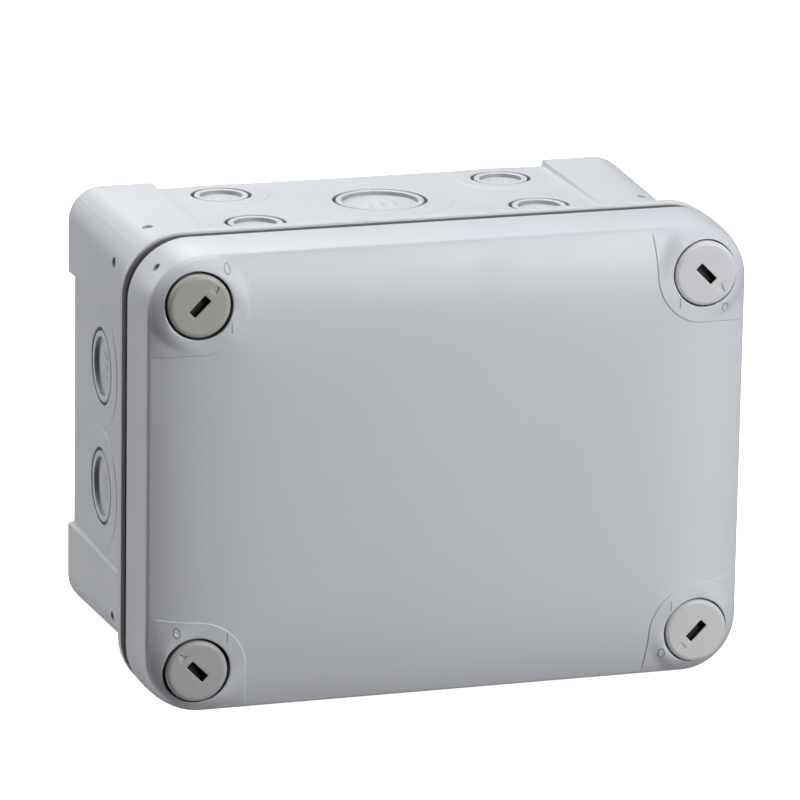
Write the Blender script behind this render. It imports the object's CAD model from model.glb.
"""Looks of the wall-mounted junction box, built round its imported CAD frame.

Shapes are worked out in millimetres in the frame of the part. finish_mesh() and drill_seal_holes() turn them
into metres. The floor, the lamps and the camera are in metres from the start.
"""

import math

import bmesh
import bpy
import numpy as np
from mathutils import Matrix, Vector, geometry


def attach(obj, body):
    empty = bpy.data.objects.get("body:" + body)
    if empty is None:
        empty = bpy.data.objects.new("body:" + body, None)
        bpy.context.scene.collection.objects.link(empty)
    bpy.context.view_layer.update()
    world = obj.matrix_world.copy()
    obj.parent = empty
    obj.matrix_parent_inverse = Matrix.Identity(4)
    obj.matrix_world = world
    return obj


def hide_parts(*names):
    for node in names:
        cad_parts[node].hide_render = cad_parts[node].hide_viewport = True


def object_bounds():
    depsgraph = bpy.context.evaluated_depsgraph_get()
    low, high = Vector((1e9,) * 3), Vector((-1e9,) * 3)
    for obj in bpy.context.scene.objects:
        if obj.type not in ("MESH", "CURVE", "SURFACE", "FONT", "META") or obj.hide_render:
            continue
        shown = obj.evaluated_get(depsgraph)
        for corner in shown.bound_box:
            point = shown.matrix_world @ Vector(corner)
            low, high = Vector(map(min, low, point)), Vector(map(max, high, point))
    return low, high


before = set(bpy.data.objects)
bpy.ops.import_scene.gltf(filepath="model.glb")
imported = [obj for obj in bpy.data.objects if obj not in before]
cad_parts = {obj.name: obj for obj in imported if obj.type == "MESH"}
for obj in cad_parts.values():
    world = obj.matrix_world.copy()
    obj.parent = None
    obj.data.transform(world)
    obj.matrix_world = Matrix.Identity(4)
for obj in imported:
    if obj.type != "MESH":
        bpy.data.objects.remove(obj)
cad_box = [list(corner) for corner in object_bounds()]

MM = 0.001

# ---------------------------------------------------------------- dimensions, in millimetres
WIDTH = 225.0
HEIGHT = 170.0
CORNER = 22.0            # radius at the corners of the rim and the cover
FLAT_X = 75.5            # half length of the panels between the corner pads
FLAT_Z = 48.0
RUN = 16.5               # unrolled length from a pad's end to the corner arc
ARC = 22.0               # unrolled length of a corner arc
CORNERS = [(-1, -1), (-1, 1), (1, -1), (1, 1)]
LOCK_X = 93.5
LOCK_Z = 66.5
LOCK_ANGLES = {"top_left": 45, "top_right": -45, "bottom_left": 135, "bottom_right": 225}
LOCK_SIDES = {"top_left": (-1, 1), "top_right": (1, 1), "bottom_left": (-1, -1), "bottom_right": (1, -1)}

RIM_FRONT = -97.2
RIM_REAR = -91.2
SHOULDER = -95.2
POST_FRONT = -98.0
PAD_INSET = (5.6, 6.8)   # at the back and at the rim
PANEL_INSET = (8.0, 7.0)
PAD_RADIUS = (12.0, 16.0)
INNER_INSET = 9.8        # inside of the walls, next to the rim
FLOOR = -2.8
BACK_FILLET = 0.9
FRONT_FILLET = 0.6

GROOVE = {"M20": 11.2, "M25": 14.3, "M32": 17.4}
RING_PAD = 1.55          # radius of the raised ring round a knock-out, as a share of its groove's
ENTRY_Y = -38.2

EDGE_Y = -101.0
FACE_EDGE_Y = -122.5
FACE_EDGE_INSET = 2.0
FACE_RISE = 7.5
FACE_POWER = 5.6
PLATEAU = -127.7
PLATEAU_TILT = 0.075
SEAT_Y = -124.0
TUBE = 6.8
TUBE_REAR = -100.4
SHANK_HOLE = 4.9
LOBE_RISE = 0.35


def smooth(t):
    t = min(max(t, 0.0), 1.0)
    return t * t * (3 - 2 * t)


def between(table, value):
    """Straight-line reading of a table of (place, height) pairs in rising order of place."""
    if value <= table[0][0]:
        return table[0][1]
    for (a, low), (b, high) in zip(table, table[1:]):
        if value <= b:
            return low + (high - low) * (value - a) / (b - a)
    return table[-1][1]


# ---------------------------------------------------------------- mesh making
class Shell:
    """Collects points and faces of one piece; equal points are joined at the end."""

    def __init__(self):
        self.points = []
        self.faces = []
        self.slots = []

    def add(self, points, faces, slot=0):
        start = len(self.points)
        self.points.extend(points)
        for face in faces:
            self.faces.append([start + i for i in face])
            self.slots.append(slot)

    def rows(self, rows, closed=True, slot=0):
        """Quads between rows of equal length."""
        count = len(rows[0])
        faces = []
        for level in range(len(rows) - 1):
            for i in range(count if closed else count - 1):
                j = (i + 1) % count
                near = level * count
                far = near + count
                faces.append([near + i, near + j, far + j, far + i])
        self.add([p for row in rows for p in row], faces, slot)

    def add_by_kind(self, points, places, faces, kind):
        """Triangles sorted into material slots by what kind() says of their middles."""
        sorted_faces = {}
        for face in faces:
            a = sum(places[i][0] for i in face) / 3
            b = sum(places[i][1] for i in face) / 3
            sorted_faces.setdefault(int(kind(a, b)), []).append(face)
        for slot in sorted(sorted_faces):
            self.add(points, sorted_faces[slot], slot)

    def fan(self, row, slot=0):
        """One flat face over a closed row."""
        self.add(list(row), [list(range(len(row)))], slot)


def triangulate(chains, loose, inside=None):
    """Points and triangles in the plane that keep every chain (points, closed) as edges."""
    points = []
    edges = []
    for chain, closed in chains:
        start = len(points)
        points.extend(chain)
        count = len(chain)
        for i in range(count if closed else count - 1):
            edges.append((start + i, start + (i + 1) % count))
    points.extend(loose)
    vectors = [Vector((float(a), float(b))) for a, b in points]
    out = geometry.delaunay_2d_cdt(vectors, edges, [], 0, 1e-4)
    places = [(v.x, v.y) for v in out[0]]
    triangles = []
    for face in out[2]:
        if inside is not None:
            a = sum(places[i][0] for i in face) / len(face)
            b = sum(places[i][1] for i in face) / len(face)
            if not inside(a, b):
                continue
        triangles.append(list(face))
    return places, triangles


def in_polygon(polygon):
    """Test for a point inside a closed polygon."""
    xs = np.array([p[0] for p in polygon])
    zs = np.array([p[1] for p in polygon])
    xe = np.roll(xs, -1)
    ze = np.roll(zs, -1)

    def test(x, z):
        crosses = (zs > z) != (ze > z)
        with np.errstate(divide="ignore", invalid="ignore"):
            at = xs + (z - zs) / (ze - zs) * (xe - xs)
        return bool(np.count_nonzero(crosses & (x < at)) % 2)

    return test


def loose_points(low, high, step, chains, clearance):
    """Staggered points over a box that keep a distance from the chains."""
    solid = []
    for chain, closed in chains:
        line = np.array(chain, float)
        ends = np.roll(line, -1, axis=0) if closed else line[1:]
        starts = line if closed else line[:-1]
        for a, b in zip(starts, ends):
            pieces = max(1, int(np.hypot(*(b - a)) / clearance))
            for k in range(pieces):
                solid.append(a + (b - a) * k / pieces)
    solid = np.array(solid)
    found = []
    rows = int((high[1] - low[1]) / (step * 0.87))
    for row in range(1, rows):
        z = low[1] + (high[1] - low[1]) * row / rows
        x = low[0] + step * (0.5 if row % 2 else 1.0)
        while x < high[0] - step * 0.4:
            if np.min(np.abs(solid[:, 0] - x) + np.abs(solid[:, 1] - z)) > clearance:
                found.append((x, z))
            x += step
    return found


def loose_over(half_x, half_z, step, chains, clearance):
    return loose_points((-half_x, -half_z), (half_x, half_z), step, chains, clearance)


def new_piece(name, mesh):
    piece = bpy.data.objects.new(name, mesh)
    bpy.context.scene.collection.objects.link(piece)
    return piece


def even_normals(piece):
    modifier = piece.modifiers.new("Normals", "WEIGHTED_NORMAL")
    modifier.keep_sharp = True
    modifier.weight = 60


def finish_mesh(name, shell, materials, body, replaced=(), weighted=True):
    """Makes the piece, joins equal points, turns its faces outward and puts it on its body."""
    mesh = bpy.data.meshes.new(name)
    work = bmesh.new()
    verts = [work.verts.new((p[0] * MM, p[1] * MM, p[2] * MM)) for p in shell.points]
    for face, material_index in zip(shell.faces, shell.slots):
        try:
            made = work.faces.new([verts[i] for i in face])
        except ValueError:
            continue
        made.material_index = material_index
        made.smooth = True
    bmesh.ops.remove_doubles(work, verts=work.verts, dist=1e-6)
    bmesh.ops.dissolve_degenerate(work, edges=work.edges, dist=1e-8)
    bmesh.ops.recalc_face_normals(work, faces=work.faces)
    work.to_mesh(mesh)
    open_edges = sum(1 for e in work.edges if len(e.link_faces) != 2)
    work.free()
    if open_edges:
        print("OPEN EDGES", name, open_edges)
    piece = new_piece(name, mesh)
    for material in materials:
        mesh.materials.append(material)
    if weighted:
        even_normals(piece)
    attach(piece, body)
    if replaced:
        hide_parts(*replaced)
    return piece


# ---------------------------------------------------------------- outlines round the box
SIDES = [
    ("top", (-1, 0), (0, 1), FLAT_X),
    ("left", (0, -1), (-1, 0), FLAT_Z),
    ("bottom", (1, 0), (0, -1), FLAT_X),
    ("right", (0, 1), (1, 0), FLAT_Z),
]
CORNER_LENGTH = 2 * RUN + ARC
STARTS = [0.0]
for side in SIDES:
    STARTS.append(STARTS[-1] + 2 * side[3] + CORNER_LENGTH)
ROUND = STARTS[-1]
SEAM = STARTS[3] - RUN - ARC * 0.66   # in the corner between the bottom and the right side


def place_on(u, inset, radius, raise_by=0.0):
    """Point (x, z) at the unrolled place u of a rounded rectangle, raised outward."""
    u = u % ROUND
    index = max(i for i in range(4) if u >= STARTS[i] - 1e-9)
    along, out, flat = SIDES[index][1:]
    half = (WIDTH / 2 - inset, HEIGHT / 2 - inset)
    half_along = half[0] if along[0] else half[1]
    half_out = half[1] if along[0] else half[0]
    s = u - STARTS[index]
    if s <= 2 * flat:
        a = s - flat
        b = half_out + raise_by
    elif s <= 2 * flat + RUN:
        a = flat + (half_along - radius - flat) * (s - 2 * flat) / RUN
        b = half_out + raise_by
    elif s <= 2 * flat + RUN + ARC:
        angle = (s - 2 * flat - RUN) / ARC * math.pi / 2
        a = half_along - radius + (radius + raise_by) * math.sin(angle)
        b = half_out - radius + (radius + raise_by) * math.cos(angle)
    else:
        next_flat = SIDES[(index + 1) % 4][3]
        share = (s - 2 * flat - RUN - ARC) / RUN
        a = half_along + raise_by
        b = (half_out - radius) + (next_flat - (half_out - radius)) * share
    return (along[0] * a + out[0] * b, along[1] * a + out[1] * b)


def side_u(side, along):
    """Unrolled place of a point on a side, where along is X on the top and bottom and Z on the others."""
    index = [s[0] for s in SIDES].index(side)
    direction = SIDES[index][1]
    s = along * (direction[0] + direction[1])
    return STARTS[index] + SIDES[index][3] + s


def unrolled_samples(flat_step, run_steps, arc_steps):
    """Places round the outline where every ring of points has one."""
    found = []
    for index, (_, _, _, flat) in enumerate(SIDES):
        start = STARTS[index]
        pieces = max(2, round(2 * flat / flat_step))
        found += [start + 2 * flat * i / pieces for i in range(pieces)]
        start += 2 * flat
        found += [start + RUN * i / run_steps for i in range(run_steps)]
        found += [start + RUN + ARC * i / arc_steps for i in range(arc_steps)]
        found += [start + RUN + ARC + RUN * i / run_steps for i in range(run_steps)]
    return found


def outline_at(samples, inset):
    return [place_on(u, inset, CORNER - inset) for u in samples]


def ring_points(samples, inset, y):
    return [(x, y, z) for x, z in outline_at(samples, inset)]


def post_places():
    """X and Z of the four locks and their posts."""
    return [(side_x * LOCK_X, side_z * LOCK_Z) for side_x, side_z in CORNERS]


# ---------------------------------------------------------------- base: heights of the outer walls
M20_PLACE = (53.6, 22.1)     # from the middle of the side, and from ENTRY_Y
M25_PLACE = (22.5, -40.8)    # from the middle of the side, and Y
# Distance inside the radius of a knock-out's groove, and height over the panel.
ENTRY_STEPS = [
    (4.20, -1.60), (3.85, -1.55), (3.66, -1.36), (3.50, -0.20), (3.30, 0.02), (3.10, 0.12), (2.80, 0.15),
    (1.72, 0.15), (1.50, 0.11), (1.36, -0.02), (1.30, -0.25), (1.24, -2.00), (1.10, -2.15), (0.26, -2.15),
    (0.10, -2.00), (0.04, -0.15), (-0.06, 0.12), (-0.22, 0.24), (-0.45, 0.30),
]
# Distance outward from the radius of its raised ring, and height over the panel.
RING_STEPS = [(-0.30, 0.30), (-0.10, 0.25), (0.04, 0.03), (0.20, 0.0)]
RECESS_EDGE = ENTRY_STEPS[0][0]
DARK_BANDS = [(0.05, 1.28), (3.42, 3.70)]   # inside the groove radius: the groove, and the recess's wall
BAR_RISE = 0.50
BAR_EDGE = 0.12
DIMPLE = [(0.0, -0.95), (1.35, -0.95), (1.72, -0.80), (1.92, -0.12), (2.10, -0.02), (2.35, 0.0)]
DIMPLE_Y = -60.0
DIMPLE_DARK = 1.85
BACK_LIMIT = -1.3
PANEL_EDGE = (0.0, 0.2, 0.4, 0.6, 0.8)
PARTING = (-0.28, -0.14, 0.0, 0.14, 0.28)   # across the parting ridge in each corner
PARTING_RISE = 0.12


def mix(pair, y):
    """Value at y of something that runs from the back of the base to its rim."""
    return pair[0] + (pair[1] - pair[0]) * min(max(y / RIM_REAR, 0.0), 1.0)


def entry_list():
    """Side, place along it, Y and size of every knock-out."""
    found = []
    for side in ("top", "bottom"):
        found.append((side, 0.0, ENTRY_Y, "M32"))
        for sign in (-1, 1):
            for step in (-1, 1):
                found.append((side, sign * M20_PLACE[0], ENTRY_Y + step * M20_PLACE[1], "M20"))
    for side in ("left", "right"):
        for sign in (-1, 1):
            found.append((side, sign * M25_PLACE[0], M25_PLACE[1], "M25"))
    return found


def entry_profile(groove):
    """Height over the panel against the distance from the middle of a knock-out."""
    found = [(0.0, ENTRY_STEPS[0][1])] + [(groove - inward, height) for inward, height in ENTRY_STEPS]
    return found + [(groove * RING_PAD + outward, height) for outward, height in RING_STEPS]


def corner_middle(index):
    """Unrolled place of the middle of the corner after a side."""
    return STARTS[index] + 2 * SIDES[index][3] + RUN + ARC / 2


def dimple_list():
    """Two dimples in each corner, on the lines where X or Z equals that of the lock."""
    inset = mix(PAD_INSET, DIMPLE_Y)
    radius = mix(PAD_RADIUS, DIMPLE_Y)
    offset = math.asin((LOCK_X - (WIDTH / 2 - inset - radius)) / radius) / (math.pi / 2) * ARC
    found = []
    for index in range(4):
        first = STARTS[index] + 2 * SIDES[index][3] + RUN
        found += [(first + offset, DIMPLE_Y), (first + ARC - offset, DIMPLE_Y)]
    return found


def limited_ring(centre, radius, steps, highest):
    """Circle whose points stay below a highest second coordinate."""
    found = []
    for i in range(steps):
        angle = 2 * math.pi * (i + 0.5) / steps
        across = centre[0] + radius * math.cos(angle)
        found.append((across, min(centre[1] + radius * math.sin(angle), highest)))
    return found


def bar_marks(groove):
    """Offset and half sizes of the three small raised bars in the recess of a knock-out."""
    size = groove * 0.11
    return [(groove * share, size * 0.45, size * 1.6) for share in (-0.26, 0.0, 0.26)]


def rectangle_loop(cu, cv, half_u, half_v):
    return [(cu + su * half_u, cv + sv * half_v) for su, sv in ((-1, -1), (1, -1), (1, 1), (-1, 1))]


class BaseWall:
    """Outer wall of the base as heights over an unrolled sheet."""

    def __init__(self):
        self.entries = []
        for side, along, y, size in entry_list():
            self.entries.append((side_u(side, along), y, GROOVE[size], entry_profile(GROOVE[size])))
        self.dimples = dimple_list()

    def panel_depth(self, u):
        """How far a panel lies below the corner pads, as a share from 0 to 1 of the full drop."""
        index = max(i for i in range(4) if u >= STARTS[i] - 1e-9)
        s = u - STARTS[index]
        flat = SIDES[index][3]
        if s > 2 * flat:
            return 0.0
        return smooth((flat - abs(s - flat)) / PANEL_EDGE[-1])

    def entry_height(self, u, y, entry):
        """Height that a knock-out adds at a place."""
        cu, cy, groove, profile = entry
        du = u - cu
        dy = y - cy
        r = math.hypot(du, dy)
        if r >= groove * RING_PAD + 0.4:
            return 0.0
        height = between(profile, r)
        if height > 0 and y > BACK_LIMIT - 0.4 and cy > ENTRY_Y:
            height *= smooth((BACK_LIMIT + 0.35 - y) / 0.35)
        if r < groove - RECESS_EDGE:
            for offset, half_u, half_y in bar_marks(groove):
                inside = min(half_u - abs(du - offset), half_y - abs(dy))
                height += BAR_RISE * smooth(inside / BAR_EDGE)
        return height

    def height(self, u, y):
        u = u % ROUND
        h = -(mix(PANEL_INSET, y) - mix(PAD_INSET, y)) * self.panel_depth(u)
        for entry in self.entries:
            h += self.entry_height(u, y, entry)
        for cu, cy in self.dimples:
            r = math.hypot(u - cu, y - cy)
            if r < DIMPLE[-1][0] + 0.05:
                h += between(DIMPLE, r)
        for index in range(4):
            h += PARTING_RISE * smooth(1 - abs(u - corner_middle(index)) / PARTING[-1])
        return h

    def is_dark(self, u, y):
        """True in the groove and on the recess wall of a knock-out, and in a dimple."""
        u = u % ROUND
        for cu, cy, groove, _ in self.entries:
            inward = groove - math.hypot(u - cu, y - cy)
            if any(low < inward < high for low, high in DARK_BANDS):
                return True
        return any(math.hypot(u - cu, y - cy) < DIMPLE_DARK for cu, cy in self.dimples)

    def row(self, samples, level, y, drop=0.0):
        """Row at y with the wall's outline at a level, drawn in by drop."""
        found = []
        for u in samples:
            raised = self.height(u + SEAM, level) - drop
            x, z = place_on(u + SEAM, mix(PAD_INSET, level), mix(PAD_RADIUS, level), raised)
            found.append((x, y, z))
        return found

    def chains(self):
        """Lines that the mesh has to follow."""
        found = []
        for cu, cy, groove, profile in self.entries:
            for r, _ in profile[1:]:
                found.append((limited_ring((cu, cy), r, int(groove * 4.6), BACK_LIMIT), True))
            for offset, half_u, half_y in bar_marks(groove):
                for grow in (0.0, BAR_EDGE):
                    found.append((rectangle_loop(cu + offset, cy, half_u - grow, half_y - grow), True))
        for cu, cy in self.dimples:
            for r, _ in DIMPLE[1:]:
                found.append((limited_ring((cu, cy), r, 24, 0.0), True))
        return found


def base_samples():
    """Samples round the base, with extra ones at the ends of the panels and at the parting lines."""
    found = unrolled_samples(4.2, 4, 10) + [SEAM]
    for index in range(4):
        start = STARTS[index]
        end = start + 2 * SIDES[index][3]
        for d in PANEL_EDGE[1:] + (1.2,):
            found += [start + d, end - d]
        found += [start - 0.4, end + 0.4]
        found += [corner_middle(index) + d for d in PARTING]
    return sorted(set(round((u - SEAM) % ROUND, 4) for u in found))


# ---------------------------------------------------------------- base: rim, posts, floor
POST_STEP = (9.5, 9.75)
CUP = 8.25
CUP_FLOOR = -87.5
CAVITY_INSET = INNER_INSET + 0.4
CAVITY_STEPS = [(10.4, -60.0), (10.9, -20.0), (11.0, -4.2), (11.15, -3.4), (11.5, -2.95), (12.1, FLOOR)]
COLLAR_RINGS = [(4.7, -7.5), (6.30, -7.5), (6.52, -7.40), (6.60, -7.15), (6.66, -3.6), (6.9, -3.1),
                (7.4, FLOOR)]
COLLAR_WALL = 12.3
COLLAR_SQUEEZE = 2.25
BOSS_RINGS = [(2.30, -5.0), (2.38, -11.9), (2.55, -12.0), (5.10, -12.0), (5.35, -11.9), (5.45, -11.6),
              (5.60, -4.0), (5.85, -3.2), (6.4, FLOOR)]
FIXING = (74.0, 67.0)
FIXING_HOLE = 3.3
FIXING_BORE = [(4.7, -7.5), (4.7, -3.0), (4.5, FLOOR), (2.9, FLOOR), (2.75, FLOOR + 0.15), (2.75, -0.5),
               (FIXING_HOLE, 0.0)]
RAIL_BOSS_X = 62.0
RIM_GROOVE = [(3.6, 0.0), (3.75, 0.12), (3.85, 0.75), (4.0, 0.85), (5.6, 0.85), (5.75, 0.75), (5.85, 0.12),
              (6.0, 0.0)]
# Inset and Y from the back of the rim, over its shoulder, to its front.
RIM_STEPS = [(5.0, RIM_REAR), (0.9, RIM_REAR), (0.35, RIM_REAR - 0.06), (0.08, RIM_REAR - 0.25),
             (0.0, RIM_REAR - 0.5), (0.0, SHOULDER + 0.8), (0.08, SHOULDER + 0.4), (0.28, SHOULDER + 0.12),
             (0.55, SHOULDER), (1.4, SHOULDER), (1.5, SHOULDER - 0.1), (1.5, RIM_FRONT + 1.0),
             (1.58, RIM_FRONT + 0.88), (2.05, RIM_FRONT + 0.1), (2.3, RIM_FRONT)]
# X, Z and radius of the shallow round marks in the back.
BACK_MARKS = [(0.0, 0.0, 3.4)] + [(sx * 88.0, sz * 30.0, 4.0) for sx, sz in CORNERS]
BACK_MARKS += [(sx * 38.0, sz * 62.0, 4.0) for sx, sz in CORNERS]
BACK_MARK_DEPTH = 0.2
BACK_MARK_EDGE = 0.25
WALL_FRONT = RIM_REAR + FRONT_FILLET
WALL_BACK = -BACK_FILLET


def cavity_outline(inset, steps=28):
    """Inside of the base, which runs round the posts of the locks."""
    half_x = WIDTH / 2 - inset
    half_z = HEIGHT / 2 - inset
    post, step = POST_STEP
    reach_x = math.sqrt(post ** 2 - (half_z - LOCK_Z) ** 2)
    reach_z = math.sqrt(post ** 2 - (half_x - LOCK_X) ** 2)
    first = math.atan2(half_z - LOCK_Z, -reach_x)
    last = 2 * math.pi + math.atan2(-reach_z, half_x - LOCK_X)
    arc = []
    for i in range(steps + 1):
        angle = first + (last - first) * i / steps
        arc.append((LOCK_X + post * math.cos(angle), LOCK_Z + post * math.sin(angle)))
    step_x = LOCK_X - math.sqrt(step ** 2 - (half_z - LOCK_Z) ** 2)
    step_z = LOCK_Z - math.sqrt(step ** 2 - (half_x - LOCK_X) ** 2)
    top = [(step_x * i / 16, half_z) for i in range(1, 17)]
    side = [(half_x, step_z * i / 12) for i in range(12, 0, -1)]
    quarter = top + arc + side
    found = [(0.0, half_z)] + quarter
    found += [(half_x, 0.0)] + [(x, -z) for x, z in reversed(quarter)]
    found += [(0.0, -half_z)] + [(-x, -z) for x, z in quarter]
    found += [(-half_x, 0.0)] + [(-x, z) for x, z in reversed(quarter)]
    return found


def rounded_inset(x, z):
    """Distance inward from the outline of the rim."""
    qx = abs(x) - (WIDTH / 2 - CORNER)
    qz = abs(z) - (HEIGHT / 2 - CORNER)
    out = math.hypot(max(qx, 0.0), max(qz, 0.0)) + min(max(qx, qz), 0.0)
    return CORNER - out


def lock_distance(x, z):
    """Distance from the axis of the nearest lock."""
    return math.hypot(abs(x) - LOCK_X, abs(z) - LOCK_Z)


def fixing_distance(x, z):
    """Distance from the axis of the nearest fixing hole."""
    return math.hypot(abs(x) - FIXING[0], abs(z) - FIXING[1])


def circle_points(x, z, radius, steps):
    turn = 2 * math.pi / steps
    return [(x + radius * math.cos(i * turn), z + radius * math.sin(i * turn)) for i in range(steps)]


def turned_rows(profile, x, z, steps):
    """Rows of a surface turned round the Y axis from (radius, y) pairs."""
    return [[(px, y, pz) for px, pz in circle_points(x, z, radius, steps)] for radius, y in profile]


def rim_front(x, z):
    """Y of the front of the base's rim, its groove and its posts."""
    y = RIM_FRONT + between(RIM_GROOVE, rounded_inset(x, z))
    r = lock_distance(x, z)
    return y + (POST_FRONT - y) * smooth((POST_STEP[1] - r) / (POST_STEP[1] - POST_STEP[0]))


def floor_height(x, z):
    """Y of the inside of the floor with its collars and rail bosses."""
    r = fixing_distance(x, z)
    widest = COLLAR_RINGS[-1][0]
    if r < widest:
        squeezed = widest - (rounded_inset(x, z) - COLLAR_WALL) * COLLAR_SQUEEZE
        return between(COLLAR_RINGS, max(r, squeezed) if r > COLLAR_RINGS[0][0] + 0.05 else r)
    r = math.hypot(abs(x) - RAIL_BOSS_X, z)
    if r < BOSS_RINGS[-1][0]:
        return between(BOSS_RINGS, r)
    return FLOOR


def lift(places, height):
    return [(x, height(x, z), z) for x, z in places]


def limited_circle(x, z, radius, inset, steps):
    """Circle pulled in where it would come nearer to the outline than an inset."""
    found = []
    for i in range(steps):
        angle = 2 * math.pi * i / steps
        cos, sin = math.cos(angle), math.sin(angle)
        low, high = 0.0, radius
        reach = radius
        if rounded_inset(x + radius * cos, z + radius * sin) < inset:
            for _ in range(30):
                middle = (low + high) / 2
                if rounded_inset(x + middle * cos, z + middle * sin) < inset:
                    high = middle
                else:
                    low = middle
            reach = low
        found.append((x + reach * cos, z + reach * sin))
    return found


def post_back(side_x, side_z, radius):
    """The part of a circle round a post's axis that lies in the wall behind it."""
    first = -math.acos((WIDTH / 2 - CAVITY_INSET - LOCK_X) / radius)
    last = math.pi - math.asin((HEIGHT / 2 - CAVITY_INSET - LOCK_Z) / radius)
    found = []
    for i in range(17):
        angle = first + (last - first) * i / 16
        x = LOCK_X + radius * math.cos(angle)
        z = LOCK_Z + radius * math.sin(angle)
        found.append((side_x * x, side_z * z))
    return found


# ---------------------------------------------------------------- base: surfaces
def base_walls(shell, wall, samples):
    """Outer walls with their knock-outs, between the fillets at the back and at the rim."""
    places_y = [WALL_FRONT + (WALL_BACK - WALL_FRONT) * i / 24 for i in range(25)]
    boundary = [(u, WALL_FRONT) for u in samples] + [(ROUND, y) for y in places_y]
    boundary += [(u, WALL_BACK) for u in reversed(samples[1:])]
    boundary += [(0.0, y) for y in reversed(places_y[1:])]
    chains = [(boundary, True)]
    for chain, closed in wall.chains():
        chains.append(([((u - SEAM) % ROUND, y) for u, y in chain], closed))
    for index in range(4):
        start = STARTS[index]
        end = start + 2 * SIDES[index][3]
        lines = [start + d for d in PANEL_EDGE] + [end - d for d in PANEL_EDGE]
        lines += [corner_middle(index) + d for d in PARTING]
        for line in lines:
            u = round((line - SEAM) % ROUND, 4)
            chains.append(([(u, y) for y in places_y], False))
    points = loose_points((0.0, WALL_FRONT), (ROUND, WALL_BACK), 4.2, chains, 0.9)
    for index in range(4):
        first = (corner_middle(index) - ARC / 2 - SEAM) % ROUND
        if first + ARC < ROUND:
            points += loose_points((first, WALL_FRONT), (first + ARC, WALL_BACK), 2.2, chains, 0.8)
    places, faces = triangulate(chains, points)
    lifted = []
    for u, y in places:
        x, z = place_on(u + SEAM, mix(PAD_INSET, y), mix(PAD_RADIUS, y), wall.height(u + SEAM, y))
        lifted.append((x, y, z))
    shell.add_by_kind(lifted, places, faces, lambda u, y: wall.is_dark(u + SEAM, y))


def base_back(shell, wall, samples):
    """Fillet and flat back, with its fixing holes and shallow round marks."""
    rows = []
    for share in (0.0, 0.25, 0.5, 0.75, 1.0):
        angle = share * math.pi / 2
        y = -BACK_FILLET * (1 - math.sin(angle))
        rows.append(wall.row(samples, WALL_BACK, y, BACK_FILLET * (1 - math.cos(angle))))
    shell.rows(rows)
    back = [(p[0], p[2]) for p in rows[-1]]
    chains = [(back, True)]
    for side_x, side_z in CORNERS:
        hole = circle_points(side_x * FIXING[0], side_z * FIXING[1], FIXING_HOLE, 32)
        chains.append((hole, True))
    for x, z, radius in BACK_MARKS:
        for r in (radius, radius - BACK_MARK_EDGE):
            chains.append((circle_points(x, z, r, 28), True))
    inside_back = in_polygon(back)

    def on_back(x, z):
        return inside_back(x, z) and fixing_distance(x, z) > FIXING_HOLE - 0.02

    def back_y(x, z):
        for mark_x, mark_z, radius in BACK_MARKS:
            r = math.hypot(x - mark_x, z - mark_z)
            if r < radius:
                return -BACK_MARK_DEPTH * smooth((radius - r) / BACK_MARK_EDGE)
        return 0.0

    places, faces = triangulate(chains, loose_over(105, 77, 9.0, chains, 2.5), on_back)
    shell.add(lift(places, back_y), faces)


def base_rim(shell, wall, samples):
    """Rim with its shoulder and groove, and the fronts of the posts; gives the outline of the cavity."""
    rows = [wall.row(samples, WALL_FRONT, WALL_FRONT)]
    for share in (0.3, 0.6, 0.85, 1.0):
        angle = share * math.pi / 2
        y = WALL_FRONT - FRONT_FILLET * math.sin(angle)
        rows.append(wall.row(samples, WALL_FRONT, y, -FRONT_FILLET * (1 - math.cos(angle))))
    us = [u + SEAM for u in samples]
    rows += [ring_points(us, inset, y) for inset, y in RIM_STEPS]
    shell.rows(rows)
    cavity = cavity_outline(CAVITY_INSET)
    chains = [([(p[0], p[2]) for p in rows[-1]], True), (cavity, True)]
    for inset, _ in RIM_GROOVE:
        chains.append((outline_at(us, inset), True))
    for side_x, side_z in CORNERS:
        for radius in (CUP, CUP + 0.15):
            chains.append((circle_points(side_x * LOCK_X, side_z * LOCK_Z, radius, 44), True))
        for radius in POST_STEP:
            chains.append((post_back(side_x, side_z, radius), False))
    in_cavity = in_polygon(cavity)

    def on_rim(x, z):
        return not in_cavity(x, z) and lock_distance(x, z) > CUP - 0.02

    points = [p for p in loose_over(111, 84, 4.0, chains, 1.2) if rounded_inset(*p) > 2.9]
    places, faces = triangulate(chains, points, on_rim)
    shell.add(lift(places, rim_front), faces)
    return cavity


def base_cups(shell):
    """Round holes in the posts that take the lugs of the locks."""
    cup = [(CUP, POST_FRONT), (CUP, CUP_FLOOR - 0.3), (CUP - 0.3, CUP_FLOOR), (0.8, CUP_FLOOR)]
    for x, z in post_places():
        rows = turned_rows(cup, x, z, 44)
        shell.rows(rows)
        shell.fan(rows[-1])


def base_cavity(shell, cavity):
    """Inner walls from the rim to the floor; gives the outline of the floor."""
    rows = [lift(cavity, rim_front)]
    for inset, y in ((INNER_INSET + 0.12, 0.12), (INNER_INSET, 0.4)):
        outline = cavity_outline(inset)
        rows.append([(x, rim_front(cx, cz) + y, z) for (x, z), (cx, cz) in zip(outline, cavity)])
    for inset, y in CAVITY_STEPS:
        rows.append([(x, y, z) for x, z in cavity_outline(inset)])
    shell.rows(rows)
    return [(p[0], p[2]) for p in rows[-1]]


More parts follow.
